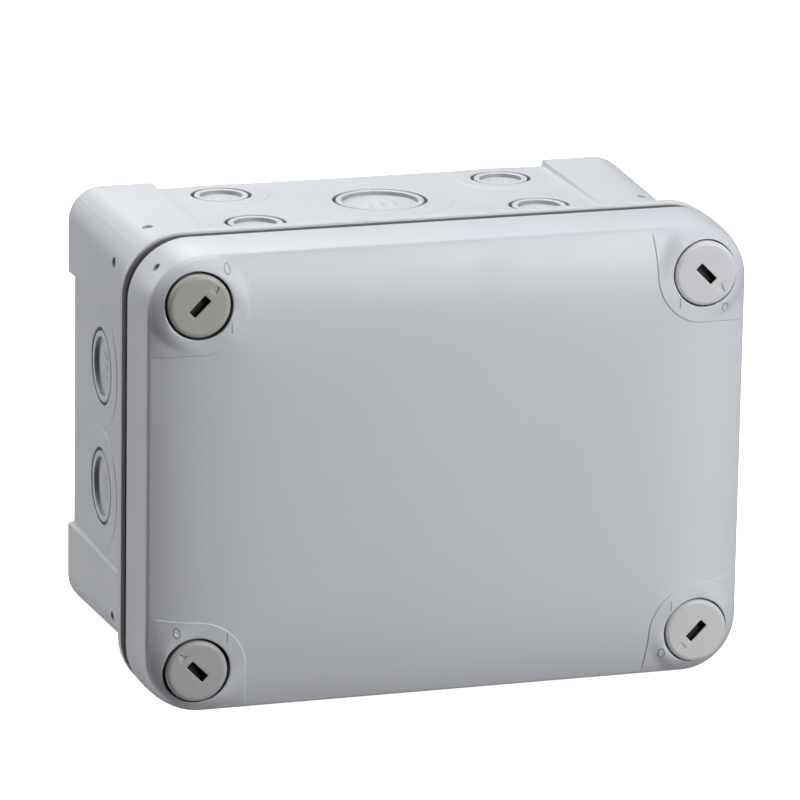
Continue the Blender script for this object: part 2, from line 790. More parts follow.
def base_floor(shell, floor):
    """Inside of the floor, with the collars of the fixing holes and the rail bosses."""
    chains = [(floor, True)]
    widest = COLLAR_RINGS[-1][0]
    for side_x in (-1, 1):
        for side_z in (-1, 1):
            for r, _ in COLLAR_RINGS:
                wall_inset = COLLAR_WALL + (widest - r) / COLLAR_SQUEEZE if r > 5.0 else 0.0
                loop = limited_circle(side_x * FIXING[0], side_z * FIXING[1], r, wall_inset, 32)
                chains.append((loop, True))
        for r, _ in BOSS_RINGS:
            chains.append((circle_points(side_x * RAIL_BOSS_X, 0.0, r, 32), True))
    on_floor = in_polygon(floor)

    def over_floor(x, z):
        return fixing_distance(x, z) > COLLAR_RINGS[0][0] - 0.03 and on_floor(x, z)

    places, faces = triangulate(chains, loose_over(100, 73, 7.0, chains, 1.5), over_floor)
    shell.add(lift(places, floor_height), faces)
    for side_x, side_z in CORNERS:
        shell.rows(turned_rows(FIXING_BORE, side_x * FIXING[0], side_z * FIXING[1], 32))


def make_base(materials):
    wall = BaseWall()
    samples = base_samples()
    shell = Shell()
    base_walls(shell, wall, samples)
    base_back(shell, wall, samples)
    cavity = base_rim(shell, wall, samples)
    base_cups(shell)
    base_floor(shell, base_cavity(shell, cavity))
    finish_mesh("base_body", shell, materials, "base", ["base_box"])


# ---------------------------------------------------------------- cover: heights of the face
FACE_START = 3.2         # inset where the face's sheet begins
LOBE_RADIUS = 18.0
LOBE_FLARE = 1.3
LOBE_END = 14.9
LOBE_LINES = (-0.08, 0.0, 0.09, 0.175, 0.26, 0.35, 0.5)
EDGE_STEEP = 2.0
EDGE_LIFT = 5.4
MARK_RISE = 0.07
MARK_EDGE = 0.06
RING_OUTER = (1.35, 1.90)
RING_INNER = (0.88, 1.42)
BAR_MARK = (0.27, 1.85)
BOSS_LIMIT = 15.8
BOSS_REAR = -120.7
SEAT_RINGS = [(5.3, SEAT_Y), (11.70, SEAT_Y), (11.95, SEAT_Y - 0.12), (12.05, SEAT_Y - 0.40)]
LIP_RINGS = [(12.10, 0.50), (12.17, 0.24), (12.32, 0.08), (12.65, 0.0)]
# Ring mark and bar mark beside each lock, from its axis.
MARKS = {
    "top_left": ((10.5, 12.3), (11.5, -8.2)),
    "top_right": ((8.0, -12.9), (-9.8, -9.9)),
    "bottom_left": ((-7.0, 14.3), (10.7, 12.0)),
    "bottom_right": ((-12.5, -7.7), (-10.0, 10.3)),
}
# Inset and Y of the skirt, from its inside over its rear edge to the start of the face's rounding.
SKIRT = [(4.7, -119.4), (4.2, -112.0), (3.3, -103.0), (3.15, -101.4), (2.95, -101.1), (2.6, EDGE_Y),
         (1.2, EDGE_Y), (1.05, -101.1), (1.0, -101.3), (1.0, -102.0), (0.9, -102.15), (0.4, -102.2),
         (0.15, -102.28), (0.02, -102.5), (0.0, -102.8), (0.02, -104.5), (0.08, -107.0), (0.2, -110.0),
         (0.4, -113.0), (0.7, -116.0), (1.1, -118.6), (1.5, -120.6), (1.75, -121.5), (1.88, -121.9)]
INNER_EDGE = 5.2
EDGE_INSETS = (2.0, 2.15, 2.35, 2.6, 2.9, FACE_START)
# Radius and Y of the tube behind each lock, after its first row in the seat.
TUBE_ROWS = [(SHANK_HOLE, SEAT_Y + 0.35), (SHANK_HOLE, TUBE_REAR - 0.4), (SHANK_HOLE + 0.25, TUBE_REAR),
             (TUBE - 0.3, TUBE_REAR), (TUBE, TUBE_REAR - 0.3), (TUBE + 0.1, -119.6), (TUBE + 0.2, -120.4),
             (TUBE + 0.5, BOSS_REAR)]
ROUND_STEPS = 64


def face_y(inset):
    share = (inset - FACE_EDGE_INSET) / (HEIGHT / 2 - FACE_EDGE_INSET)
    return FACE_EDGE_Y - FACE_RISE * (1 - (1 - min(max(share, 0.0), 1.0)) ** FACE_POWER)


def later(a, b, blend):
    """Smooth maximum."""
    gap = max(blend - abs(a - b), 0.0) / blend
    return max(a, b) + gap * gap * blend / 4


def flare(past):
    """Reach of a lobe at a place past the lock's axis, given as a negative distance."""
    return LOBE_RADIUS + LOBE_FLARE * (-past / 17) ** 1.5


def lobe_distance(x, z):
    """Distance inside the edge of the raised lobe round the nearest lock, negative outside."""
    a = LOCK_X - abs(x)
    b = LOCK_Z - abs(z)
    if a > 0 and b > 0:
        return LOBE_RADIUS - math.hypot(a, b)
    if a > 0:
        return flare(b) - a
    if b > 0:
        return flare(a) - b
    return 9.0


def lobe_edge(distance, side_x, side_z):
    """The line at a distance inside a lobe's edge, from the top or bottom edge of the cover to its side."""
    radius = LOBE_RADIUS - distance
    found = []
    for i in range(9):
        b = -LOBE_END * (1 - i / 8)
        found.append((flare(b) - distance, b))
    for i in range(1, 24):
        angle = math.pi / 2 * i / 24
        found.append((radius * math.cos(angle), radius * math.sin(angle)))
    for i in range(9):
        a = -LOBE_END * i / 8
        found.append((a, flare(a) - distance))
    return [(side_x * (LOCK_X - a), side_z * (LOCK_Z - b)) for a, b in found]


def mark_places():
    """Kind and middle of the two marks of every lock."""
    found = []
    for name, marks in MARKS.items():
        side_x, side_z = LOCK_SIDES[name]
        for kind, (x, z) in zip(("ring", "bar"), marks):
            found.append((kind, side_x * LOCK_X + x, side_z * LOCK_Z + z))
    return found


MARK_PLACES = mark_places()


def mark_loops(kind, x, z, grow):
    """Outlines of a mark, drawn in by grow."""
    if kind == "bar":
        return [rectangle_loop(x, z, BAR_MARK[0] - grow, BAR_MARK[1] - grow)]
    loops = []
    for a, b in ((RING_OUTER[0] - grow, RING_OUTER[1] - grow), (RING_INNER[0] + grow, RING_INNER[1] + grow)):
        turns = [t * math.pi / 12 for t in range(24)]
        loops.append([(x + a * math.cos(turn), z + b * math.sin(turn)) for turn in turns])
    return loops


def ring_mark(x, z, grow):
    """How far inside the outline of a ring-shaped mark a point is."""
    outer = 1.0 - math.hypot(x / (RING_OUTER[0] - grow), z / (RING_OUTER[1] - grow))
    inner = math.hypot(x / (RING_INNER[0] + grow), z / (RING_INNER[1] + grow)) - 1.0
    return min(outer, inner)


def in_mark(x, z, grow=0.0):
    for kind, cx, cz in MARK_PLACES:
        dx = abs(x - cx)
        dz = abs(z - cz)
        if dx < 2 and dz < 2.2:
            if kind == "ring":
                return ring_mark(x - cx, z - cz, grow) > -1e-4
            return dx < BAR_MARK[0] - grow + 1e-4 and dz < BAR_MARK[1] - grow + 1e-4
    return False


def lobe_y(x, z, inset, r, y):
    """Y of the raised lobe and its flat round the lock, held back along the edge of the cover."""
    fade = smooth((inset - 3.3) / 2.0)
    y -= LOBE_RISE * smooth(lobe_distance(x, z) / 0.35) * fade
    outward = (abs(x) - LOCK_X + abs(z) - LOCK_Z) * math.sqrt(0.5)
    y += min(PLATEAU + PLATEAU_TILT * outward - y, 0.0) * (1 - smooth((r - 12.8) / 5.6))
    share = min(max((inset - FACE_EDGE_INSET) / 8.5, 0.0), 1.0)
    limit = FACE_EDGE_Y - EDGE_LIFT * (1 - (1 - share) ** EDGE_STEEP) - 0.4 * max(inset - 7.0, 0.0)
    return later(y, limit, 0.4)


def cover_front(x, z):
    """Y of the cover's face at a point, with its lobes, lock seats and marks."""
    inset = rounded_inset(x, z)
    r = lock_distance(x, z)
    y = face_y(inset)
    if lobe_distance(x, z) > -0.2:
        y = lobe_y(x, z, inset, r, y)
    if inset < FACE_START:
        y += 0.28 * (1 - smooth((inset - 2.0) / 1.2)) ** 1.5
    if r < LIP_RINGS[0][0] - 0.025:
        return between(SEAT_RINGS, r)
    if r < LIP_RINGS[-1][0]:
        y += between(LIP_RINGS, r)
    if in_mark(x, z, MARK_EDGE):
        y -= MARK_RISE
    return y


def cover_back(x, z):
    """Y of the inside of the cover's face, with the bosses behind the locks."""
    inset = rounded_inset(x, z)
    y = max(face_y(inset - 1.3) + 2.6, -127.4)
    boss = smooth((BOSS_LIMIT + 0.2 - lock_distance(x, z)) / 0.2) * smooth((inset - 5.7) / 0.2)
    return y + (BOSS_REAR - y) * boss


def cover_kind(x, z):
    """Material slot on the face: 2 in a lock's seat, 1 on a mark, 0 elsewhere."""
    if lock_distance(x, z) < LIP_RINGS[0][0] + 0.02:
        return 2
    return 1 if in_mark(x, z) else 0


# ---------------------------------------------------------------- cover: surfaces
def cover_face(shell, samples):
    """Face with lobes, lock seats and marks."""
    chains = [(outline_at(samples, FACE_START), True)]
    for side_x, side_z in CORNERS:
        for radius in [SHANK_HOLE + 0.1] + [ring[0] for ring in SEAT_RINGS + LIP_RINGS]:
            circle = circle_points(side_x * LOCK_X, side_z * LOCK_Z, radius, ROUND_STEPS)
            chains.append((circle, True))
        for distance in LOBE_LINES:
            chains.append((lobe_edge(distance, side_x, side_z), False))
    for kind, x, z in MARK_PLACES:
        for grow in (0.0, MARK_EDGE):
            chains += [(loop, True) for loop in mark_loops(kind, x, z, grow)]
    points = [p for p in loose_over(109, 82, 4.0, chains, 1.2)
              if lock_distance(*p) > 22 and rounded_inset(*p) > 12]
    points += [p for p in loose_over(109, 82, 2.2, chains, 0.8)
               if lock_distance(*p) > 20 and 4.0 < rounded_inset(*p) <= 12]
    for x, z in post_places():
        points += [p for p in loose_points((x - 22, z - 22), (x + 22, z + 22), 1.4, chains, 0.5)
                   if lock_distance(*p) < 21 and rounded_inset(*p) > 3.9]
    places, faces = triangulate(chains, points, lambda x, z: lock_distance(x, z) > SHANK_HOLE + 0.08)
    shell.add_by_kind(lift(places, cover_front), places, faces, cover_kind)


def cover_skirt(shell, samples):
    """Skirt from inside to the edge of the face; gives the outline of the inside."""
    inner = outline_at(samples, INNER_EDGE)
    rows = [lift(inner, cover_back)]
    rows += [ring_points(samples, inset, y) for inset, y in SKIRT]
    rows += [lift(outline_at(samples, inset), cover_front) for inset in EDGE_INSETS]
    shell.rows(rows)
    return inner


def cover_inside(shell, inner):
    """Inside of the face with a boss behind each lock."""
    chains = [(inner, True)]
    for x, z in post_places():
        chains.append((circle_points(x, z, TUBE + 0.5, ROUND_STEPS), True))
        for grow in (0.0, 0.2):
            chains.append((limited_circle(x, z, BOSS_LIMIT + grow, 5.9 - grow, ROUND_STEPS), True))
    points = loose_over(106, 79, 6.0, chains, 1.5)
    places, faces = triangulate(chains, points, lambda x, z: lock_distance(x, z) > TUBE + 0.48)
    shell.add(lift(places, cover_back), faces)


def cover_tubes(shell):
    """Tubes behind the seats that guide the shanks of the locks."""
    for x, z in post_places():
        rows = [lift(circle_points(x, z, SHANK_HOLE + 0.1, ROUND_STEPS), cover_front)]
        shell.rows(rows + turned_rows(TUBE_ROWS, x, z, ROUND_STEPS))


def make_cover(materials):
    samples = unrolled_samples(3.0, 6, 14)
    shell = Shell()
    cover_face(shell, samples)
    inner = cover_skirt(shell, samples)
    cover_inside(shell, inner)
    cover_tubes(shell)
    piece = finish_mesh("cover_shell", shell, materials, "cover", ["cover"],
                        weighted=False)
    drill_seal_holes(piece)
    even_normals(piece)


SEAL_RADIUS = 1.65
SEAL_Y = -115.0
SEAL_SETBACK = 6.6
SEAL_REACH = 5.5
SEAL_STEPS = 28


def seal_rod(side_x, side_z):
    """The two ends of the rod that cuts a seal hole through a corner of the skirt."""
    rod = []
    for end in (-SEAL_REACH, SEAL_REACH):
        row = []
        for i in range(SEAL_STEPS):
            turn = 2 * math.pi * i / SEAL_STEPS
            across = SEAL_RADIUS * math.cos(turn)
            x = side_x * (WIDTH / 2 - SEAL_SETBACK) + (side_x * end + side_z * across) * math.sqrt(0.5)
            z = side_z * (HEIGHT / 2 - SEAL_SETBACK) + (side_z * end - side_x * across) * math.sqrt(0.5)
            row.append((x, SEAL_Y + SEAL_RADIUS * math.sin(turn), z))
        rod.append(row)
    return rod


def drill_seal_holes(cover):
    """Cuts the holes for a sealing wire through two opposite corners of the skirt."""
    shell = Shell()
    for side_x, side_z in ((-1, 1), (1, -1)):
        rod = seal_rod(side_x, side_z)
        shell.rows(rod)
        shell.fan(rod[0])
        shell.fan(rod[1])
    mesh = bpy.data.meshes.new("seal_rods")
    mesh.from_pydata([Vector(p) * MM for p in shell.points], [], shell.faces)
    work = bmesh.new()
    work.from_mesh(mesh)
    bmesh.ops.remove_doubles(work, verts=work.verts, dist=1e-6)
    bmesh.ops.recalc_face_normals(work, faces=work.faces)
    work.to_mesh(mesh)
    work.free()
    rods = new_piece("seal_rods", mesh)
    cut = cover.modifiers.new("Holes", "BOOLEAN")
    cut.object = rods
    cut.operation = "DIFFERENCE"
    cut.solver = "EXACT"
    drilled = bpy.data.meshes.new_from_object(cover.evaluated_get(bpy.context.evaluated_depsgraph_get()))
    cover.modifiers.remove(cut)
    cover.data = drilled
    bpy.data.objects.remove(rods)


# ---------------------------------------------------------------- gasket
# Inset and Y of the section: a lip beside the rim, a slope over the rim's edge and a strip in front of it.
GASKET_SECTION = [(1.42, -95.30), (1.13, -95.32), (0.97, -95.48), (0.93, -95.9), (0.95, -96.35),
                  (1.03, -96.6), (1.18, -96.72), (1.48, -96.80), (2.00, -97.5), (2.30, -97.75),
                  (2.35, -98.2), (2.35, -100.7), (2.5, -100.92), (2.85, -100.92), (3.0, -100.7),
                  (3.05, -98.0), (2.95, -97.3), (2.3, -97.28), (2.03, -97.2), (1.57, -96.46),
                  (1.44, -96.22), (1.44, -95.7), (1.42, -95.30)]


def make_gasket(materials):
    """Foam strip between the base and the cover, with a lip that wraps over the edge of the rim."""
    samples = unrolled_samples(4.0, 5, 12)
    shell = Shell()
    shell.rows([ring_points(samples, inset, y) for inset, y in GASKET_SECTION])
    finish_mesh("gasket_cord", shell, materials, "cover", ["cover_gasket"])


# ---------------------------------------------------------------- locks
HEAD = 11.25
HEAD_GROWTH = {"top_left": 0.0, "top_right": 0.4, "bottom_left": -0.1, "bottom_right": 0.35}
HEAD_FACE = -128.8
HEAD_REAR = -124.4
SHANK = 4.5
SLOT_HALF = (4.05, 1.55)
SLOT_BEVEL = 0.22
SLOT_DEPTH = 3.7
ARROW_AT = 7.9
ARROW_SIZE = 1.75
ARROW_DEPTH = 0.45
ARROW_EDGE = 0.22
SEAM_HALF = 0.22         # half width of the moulding seam across the head
HEAD_RIM = [(9.0, 0.0), (9.9, 0.02), (10.2, 0.10), (10.95, 0.50), (11.17, 0.72), (HEAD, 1.1)]
HEAD_STEPS = 96
# How much wider than the slot its inside is, and how far behind the face.
SLOT_INSIDE = [(0.0, 0.8), (0.15, 0.95), (1.3, 1.0), (1.45, 1.15), (1.45, SLOT_DEPTH - 0.2),
               (1.25, SLOT_DEPTH)]
# Radius and Y from the side of the head down the shank, then growth and Y of the lug.
SHANK_ROWS = [(HEAD, HEAD_REAR - 0.25), (HEAD - 0.1, HEAD_REAR - 0.05), (HEAD - 0.3, HEAD_REAR),
              (SHANK + 0.4, HEAD_REAR), (SHANK + 0.1, HEAD_REAR + 0.1), (SHANK, HEAD_REAR + 0.4),
              (SHANK, -94.75)]
LUG_ROWS = [(0.0, -94.7), (0.35, -94.62), (0.5, -94.35), (0.5, -91.45), (0.35, -91.15), (0.0, -91.08)]
LUG_HALF = (6.8, 2.3)
LUG_END = (2.6, -91.0)


def arrow_loop(grow):
    """Triangle that points outward along +X, with its size reduced by grow."""
    size = ARROW_SIZE - grow
    rear = ARROW_AT - 0.75 * size
    return [(ARROW_AT + 1.15 * size, 0.0), (rear, 0.95 * size), (rear, -0.95 * size)]


def in_loop(loop, x, z):
    """True inside a small convex loop whose points run anticlockwise."""
    for (ax, az), (bx, bz) in zip(loop, loop[1:] + loop[:1]):
        if (bx - ax) * (z - az) - (bz - az) * (x - ax) < -1e-4:
            return False
    return True


def head_y(x, z):
    """Y of the head's face with its rounded rim, arrow, seam and the bevel round the slot."""
    r = math.hypot(x, z)
    drop = between(HEAD_RIM, r)
    if in_loop(arrow_loop(ARROW_EDGE), x, z):
        drop += ARROW_DEPTH
    if r < HEAD_RIM[1][0] and abs(z) > 2.2:
        drop -= 0.05 * smooth(1 - abs(x) / SEAM_HALF)
    y = HEAD_FACE + drop
    if abs(x) < SLOT_HALF[0] + 0.02 and abs(z) < SLOT_HALF[1] + 0.02:
        y += 0.12
    return y


def slot_outline(grow, radius):
    """Rectangle with round corners: the slot, made larger by grow."""
    found = []
    for cx, cz, first in ((1, 1, 0), (-1, 1, 90), (-1, -1, 180), (1, -1, 270)):
        for i in range(4):
            angle = math.radians(first + 30 * i)
            x = cx * (SLOT_HALF[0] + grow - radius) + radius * math.cos(angle)
            found.append((x, cz * (SLOT_HALF[1] + grow - radius) + radius * math.sin(angle)))
    return found


def bar_and_disc(half_x, half_z, radius, steps, turn=0.0):
    """Outline of a disc with a straight bar through it; the bar is turned by an angle."""
    found = []
    for i in range(steps):
        angle = 2 * math.pi * i / steps
        across = max(abs(math.cos(angle - turn)), 1e-6)
        upward = max(abs(math.sin(angle - turn)), 1e-6)
        r = max(radius, min(half_x / across, half_z / upward))
        found.append((r * math.cos(angle), r * math.sin(angle)))
    return found


def lock_face(shell, slot_loop):
    """Face of the head round its slot."""
    chains = [(circle_points(0.0, 0.0, HEAD, HEAD_STEPS), True), (slot_loop, True)]
    chains.append((slot_outline(SLOT_BEVEL, 0.5), True))
    for radius, _ in HEAD_RIM[:-1]:
        chains.append((circle_points(0.0, 0.0, radius, HEAD_STEPS), True))
    for grow in (0.0, ARROW_EDGE):
        chains.append((arrow_loop(grow), True))
    for edge in (-SEAM_HALF, 0.0, SEAM_HALF):
        for sign in (-1, 1):
            chains.append(([(edge, sign * 2.4), (edge, sign * 6.0), (edge, sign * 9.7)], False))
    inside_slot = in_polygon(slot_loop)
    points = [p for p in loose_over(HEAD, HEAD, 1.3, chains, 0.4) if math.hypot(*p) < HEAD - 0.5]
    places, faces = triangulate(chains, points, lambda x, z: not inside_slot(x, z))
    shell.add(lift(places, head_y), faces)


def lock_slot(shell, slot_loop):
    """Sides of the slot and the wider dark hollow behind it."""
    mouth = [(x, HEAD_FACE + 0.5, z) for x, z in slot_loop]
    shell.rows([lift(slot_loop, head_y), mouth])
    rows = [mouth]
    for grow, y in SLOT_INSIDE:
        rows.append([(x, HEAD_FACE + y, z) for x, z in slot_outline(grow, 0.35 + grow)])
    shell.rows(rows, slot=1)
    shell.fan(rows[-1], slot=1)


def lock_shank(shell):
    """Side of the head, shank and cross lug."""
    rows = [lift(circle_points(0.0, 0.0, HEAD, HEAD_STEPS), head_y)]
    rows += turned_rows(SHANK_ROWS, 0.0, 0.0, HEAD_STEPS)
    for grow, y in LUG_ROWS:
        outline = bar_and_disc(LUG_HALF[0] + grow, LUG_HALF[1] + grow, SHANK - 0.5 + grow, HEAD_STEPS)
        rows.append([(x, y, z) for x, z in outline])
    shell.rows(rows)
    rows = [rows[-1]] + turned_rows([LUG_END], 0.0, 0.0, HEAD_STEPS)
    shell.rows(rows)
    shell.fan(rows[-1])


def make_lock(name, materials):
    """Quarter-turn lock, made on its own axis and then turned and put in place."""
    shell = Shell()
    slot_loop = slot_outline(0.0, 0.35)
    lock_face(shell, slot_loop)
    lock_slot(shell, slot_loop)
    lock_shank(shell)
    side_x, side_z = LOCK_SIDES[name]
    turn = math.radians(LOCK_ANGLES[name])
    cos = math.cos(turn)
    sin = math.sin(turn)
    placed = []
    for x, y, z in shell.points:
        grow = 1 + HEAD_GROWTH[name] / HEAD * smooth((math.hypot(x, z) - 8.0) / 2.0)
        x *= grow
        z *= grow
        placed.append((x * cos - z * sin + side_x * LOCK_X, y, x * sin + z * cos + side_z * LOCK_Z))
    shell.points = placed
    finish_mesh("lock_body_" + name, shell, materials, "lock_" + name, ["lock_" + name])


# ---------------------------------------------------------------- keyhole plates of the posts
PLATE_RADIUS = 8.2
PLATE_FRONT = -98.0
PLATE_REAR = -95.0
KEYHOLE_HALF = (7.6, 3.2)
KEYHOLE_RADIUS = 5.2


def make_keyhole_plate(name, materials):
    """Disc in the front of a post with the slot that lets a lock's lug in."""
    side_x, side_z = LOCK_SIDES[name]
    turn = math.radians(LOCK_ANGLES[name])
    hole = bar_and_disc(KEYHOLE_HALF[0], KEYHOLE_HALF[1], KEYHOLE_RADIUS, 72, turn)
    rim = circle_points(0.0, 0.0, PLATE_RADIUS, 72)

    def row(loop, y, scale=1.0):
        return [(side_x * LOCK_X + x * scale, y, side_z * LOCK_Z + z * scale) for x, z in loop]

    shell = Shell()
    shell.rows([row(hole, -97.75), row(hole, PLATE_FRONT, 1.02), row(rim, PLATE_FRONT, 0.99), row(rim, -97.9),
                row(rim, -95.1), row(rim, PLATE_REAR, 0.99), row(hole, PLATE_REAR, 1.02), row(hole, -95.2),
                row(hole, -97.75)])
    finish_mesh("keyhole_plate_" + name, shell, materials, "base")


# ---------------------------------------------------------------- materials
def shader_nodes(name):
    material = bpy.data.materials.new(name)
    material.use_nodes = True
    tree = material.node_tree
    return material, tree, tree.nodes["Principled BSDF"]


def noise(tree, scale, detail, vector, roughness=0.5):
    node = tree.nodes.new("ShaderNodeTexNoise")
    node.inputs["Scale"].default_value = scale
    node.inputs["Detail"].default_value = detail
    node.inputs["Roughness"].default_value = roughness
    tree.links.new(vector, node.inputs["Vector"])
    return node


def ramp(tree, source, low, high, first, last):
    """Colour ramp from one colour to another between two values of the source."""
    node = tree.nodes.new("ShaderNodeValToRGB")
    node.color_ramp.elements[0].position = low
    node.color_ramp.elements[0].color = (*first, 1.0)
    node.color_ramp.elements[1].position = high
    node.color_ramp.elements[1].color = (*last, 1.0)
    tree.links.new(source, node.inputs["Fac"])
    return node


def spread(tree, source, low, high):
    """The middle of the source's range, spread from low to high."""
    node = tree.nodes.new("ShaderNodeMapRange")
    node.inputs["From Min"].default_value = 0.3
    node.inputs["From Max"].default_value = 0.7
    node.inputs["To Min"].default_value = low
    node.inputs["To Max"].default_value = high
    tree.links.new(source, node.inputs["Value"])
    return node


def bump(tree, source, distance, strength, normal=None):
    node = tree.nodes.new("ShaderNodeBump")
    node.inputs["Distance"].default_value = distance
    node.inputs["Strength"].default_value = strength
    tree.links.new(source, node.inputs["Height"])
    if normal is not None:
        tree.links.new(normal, node.inputs["Normal"])
    return node


def moulded_plastic(name, colour, roughness, grain, grain_depth, variation, specks=0.0):
    """Injection-moulded plastic: fine eroded grain, faint flow patches and slightly uneven gloss."""
    material, tree, shader = shader_nodes(name)
    place = tree.nodes.new("ShaderNodeTexCoord").outputs["Object"]
    patches = noise(tree, 14.0, 3.0, place)
    darker = tuple(c * (1 - variation) for c in colour)
    lighter = tuple(min(c * (1 + variation), 1.0) for c in colour)
    tint = ramp(tree, patches.outputs["Fac"], 0.32, 0.68, darker, lighter)
    output = tint.outputs["Color"]
    if specks:
        fine = noise(tree, 1400.0, 2.0, place)
        dust = ramp(tree, fine.outputs["Fac"], 0.70, 0.80, (1.0, 1.0, 1.0), (1 - specks,) * 3)
        mixed = tree.nodes.new("ShaderNodeMix")
        mixed.data_type = "RGBA"
        mixed.blend_type = "MULTIPLY"
        mixed.inputs["Factor"].default_value = 1.0
        tree.links.new(output, mixed.inputs["A"])
        tree.links.new(dust.outputs["Color"], mixed.inputs["B"])
        output = mixed.outputs["Result"]
    tree.links.new(output, shader.inputs["Base Color"])
    gloss = noise(tree, 60.0, 4.0, place)
    uneven = spread(tree, gloss.outputs["Fac"], roughness - 0.04, roughness + 0.05)
    tree.links.new(uneven.outputs["Result"], shader.inputs["Roughness"])
    texture = noise(tree, grain, 3.0, place, 0.6)
    wavy = noise(tree, 38.0, 1.0, place)
    broad = bump(tree, wavy.outputs["Fac"], 0.00012, 0.25)
    small = bump(tree, texture.outputs["Fac"], grain_depth, 0.5, broad.outputs["Normal"])
    tree.links.new(small.outputs["Normal"], shader.inputs["Normal"])
    shader.inputs["Specular IOR Level"].default_value = 0.45
    return material


def foam(name, colour):
    """Dark foam with small open cells."""
    material, tree, shader = shader_nodes(name)
    place = tree.nodes.new("ShaderNodeTexCoord").outputs["Object"]
    cells = tree.nodes.new("ShaderNodeTexVoronoi")
    cells.inputs["Scale"].default_value = 1900.0
    tree.links.new(place, cells.inputs["Vector"])
    darker = tuple(c * 0.7 for c in colour)
    lighter = tuple(c * 1.25 for c in colour)
    tint = ramp(tree, cells.outputs["Distance"], 0.1, 0.7, darker, lighter)
    tree.links.new(tint.outputs["Color"], shader.inputs["Base Color"])
    pits = bump(tree, cells.outputs["Distance"], 0.0001, 0.6)
    tree.links.new(pits.outputs["Normal"], shader.inputs["Normal"])
    shader.inputs["Roughness"].default_value = 0.92
    return material


def metal(name, colour, roughness, brush_axis, brushed=0.5):
    """Plated or drawn metal: streaks along one axis, dull patches and fine scratches."""
    material, tree, shader = shader_nodes(name)
    place = tree.nodes.new("ShaderNodeTexCoord").outputs["Object"]
    stretch = tree.nodes.new("ShaderNodeMapping")
    stretch.inputs["Scale"].default_value = tuple(40.0 if i == brush_axis else 2600.0 for i in range(3))
    tree.links.new(place, stretch.inputs["Vector"])
    streaks = noise(tree, 1.0, 3.0, stretch.outputs["Vector"])
    patches = noise(tree, 180.0, 4.0, place)
    tint = ramp(tree, patches.outputs["Fac"], 0.3, 0.7, tuple(c * 0.86 for c in colour), colour)
    tree.links.new(tint.outputs["Color"], shader.inputs["Base Color"])
    dull = spread(tree, patches.outputs["Fac"], roughness - 0.07, roughness + 0.12)
    tree.links.new(dull.outputs["Result"], shader.inputs["Roughness"])
    lines = bump(tree, streaks.outputs["Fac"], 0.00001, brushed)
    tree.links.new(lines.outputs["Normal"], shader.inputs["Normal"])
    shader.inputs["Metallic"].default_value = 1.0
    return material


# Colour, roughness, grain scale, grain depth in metres, uneven colour and specks.
PLASTICS = {
    "body_plastic": ((0.605, 0.626, 0.655), 0.44, 2600.0, 0.000022, 0.012, 0.03),
    "cover_plastic": ((0.592, 0.612, 0.652), 0.40, 3200.0, 0.000015, 0.010, 0.02),
    "groove_plastic": ((0.31, 0.32, 0.335), 0.55, 2600.0, 0.000022, 0.02),
    "seat_plastic": ((0.12, 0.125, 0.13), 0.6, 3200.0, 0.000015, 0.02),
    "mark_plastic": ((0.33, 0.345, 0.365), 0.5, 3200.0, 0.000015, 0.02),
    "lock_plastic_top_left": ((0.400, 0.400, 0.372), 0.42, 2200.0, 0.00002, 0.025, 0.04),
    "lock_plastic_top_right": ((0.640, 0.650, 0.675), 0.42, 2200.0, 0.00002, 0.025, 0.04),
    "lock_plastic_bottom_left": ((0.430, 0.440, 0.437), 0.42, 2200.0, 0.00002, 0.025, 0.04),
    "lock_plastic_bottom_right": ((0.600, 0.608, 0.612), 0.42, 2200.0, 0.00002, 0.025, 0.04),
    "lock_insert": ((0.030, 0.029, 0.027), 0.55, 1500.0, 0.00003, 0.05),
    "cap_plastic": ((0.42, 0.44, 0.46), 0.5, 1800.0, 0.00003, 0.03),
    "clip_nylon": ((0.74, 0.73, 0.68), 0.38, 1500.0, 0.00002, 0.03),
    "terminal_grey": ((0.42, 0.43, 0.42), 0.48, 1700.0, 0.00003, 0.03),
    "terminal_blue": ((0.035, 0.16, 0.48), 0.46, 1700.0, 0.00003, 0.04),
    "terminal_green": ((0.07, 0.34, 0.09), 0.46, 1700.0, 0.00003, 0.04),
}
# Colour, roughness, axis of the streaks and their strength.
METALS = {
    "rail_steel": ((0.66, 0.66, 0.64), 0.34, 0, 0.6),
    "screw_steel": ((0.64, 0.64, 0.61), 0.30, 1, 0.4),
    "bar_brass": ((0.72, 0.53, 0.25), 0.30, 2, 0.5),
}


def make_materials():
    """Every material by its name."""
    found = {name: moulded_plastic(name, *values) for name, values in PLASTICS.items()}
    found.update({name: metal(name, *values) for name, values in METALS.items()})
    found["gasket_foam"] = foam("gasket_foam", (0.105, 0.102, 0.098))
    return found


paint = make_materials()
make_base([paint["body_plastic"], paint["groove_plastic"]])
make_cover([paint["cover_plastic"], paint["mark_plastic"], paint["seat_plastic"]])
make_gasket([paint["gasket_foam"]])
for lock_name in LOCK_SIDES:
    make_lock(lock_name, [paint["lock_plastic_" + lock_name], paint["lock_insert"]])
    make_keyhole_plate(lock_name, [paint["body_plastic"]])


# ---------------------------------------------------------------- CAD pieces that keep their shape
# Start of the name, material and width of the rounded edges in metres; the first row that fits counts.
FINISHES = [
    ("terminal_neutral", "terminal_blue", 0.00018),
    ("terminal_earth", "terminal_green", 0.00018),
    ("terminal_", "terminal_grey", 0.00018),
    ("end_stop", "terminal_grey", 0.0003),
    ("current_bar", "bar_brass", 0.00012),
    ("clamp_screw", "screw_steel", 0.0001),
    ("rail_screw", "screw_steel", 0.0001),
    ("lock_clip", "clip_nylon", 0.0002),
    ("fixing_cap", "cap_plastic", 0.0003),
    ("din_rail", "rail_steel", 0.0003),
]


